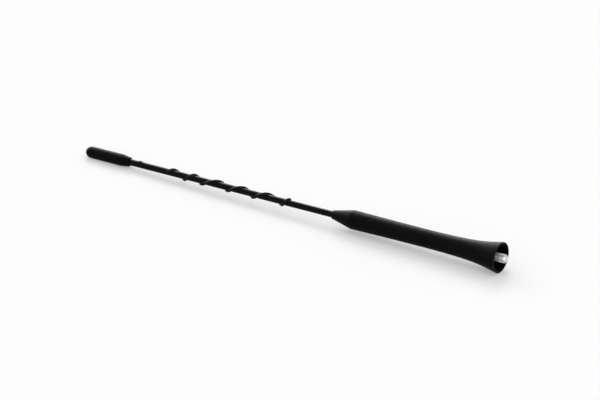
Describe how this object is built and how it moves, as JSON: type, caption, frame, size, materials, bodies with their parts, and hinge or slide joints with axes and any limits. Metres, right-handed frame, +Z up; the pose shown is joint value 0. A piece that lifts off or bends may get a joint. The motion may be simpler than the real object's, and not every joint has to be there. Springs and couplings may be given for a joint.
{
  "type": "car mast aerial",
  "caption": "Car roof mast aerial: thin sleeved mast with a spiral ridge and a domed tip cap, in a waisted rubber grip with a flared skirt around a threaded mounting stud.",
  "frame": {"origin": "on the axis of the threaded stud, in the plane of the skirt's rim", "axes": "+X along the mast's axis, out of the stud's free end, with the tip towards -X; +Z up as the aerial lies on its side; +Y to the back"},
  "size_m": [0.2803, 0.018, 0.018],
  "materials": {
    "grip_rubber": "fine satin",
    "plated_ferrule": "turned, plated",
    "plated_stud": "bright plated thread",
    "spring_steel": "drawn",
    "winding_wire": "drawn",
    "sleeve_black": "satin shrunk sleeve",
    "cap_black": "satin"
  },
  "bodies": {
    "root": {"base_grip": "grip_rubber", "ferrule": "plated_ferrule", "threaded_stud": "plated_stud", "mast_rod": "spring_steel", "spiral_wire": "winding_wire", "mast_sleeve": "sleeve_black", "tip_cap": "cap_black"}
  },
  "joints": []
}
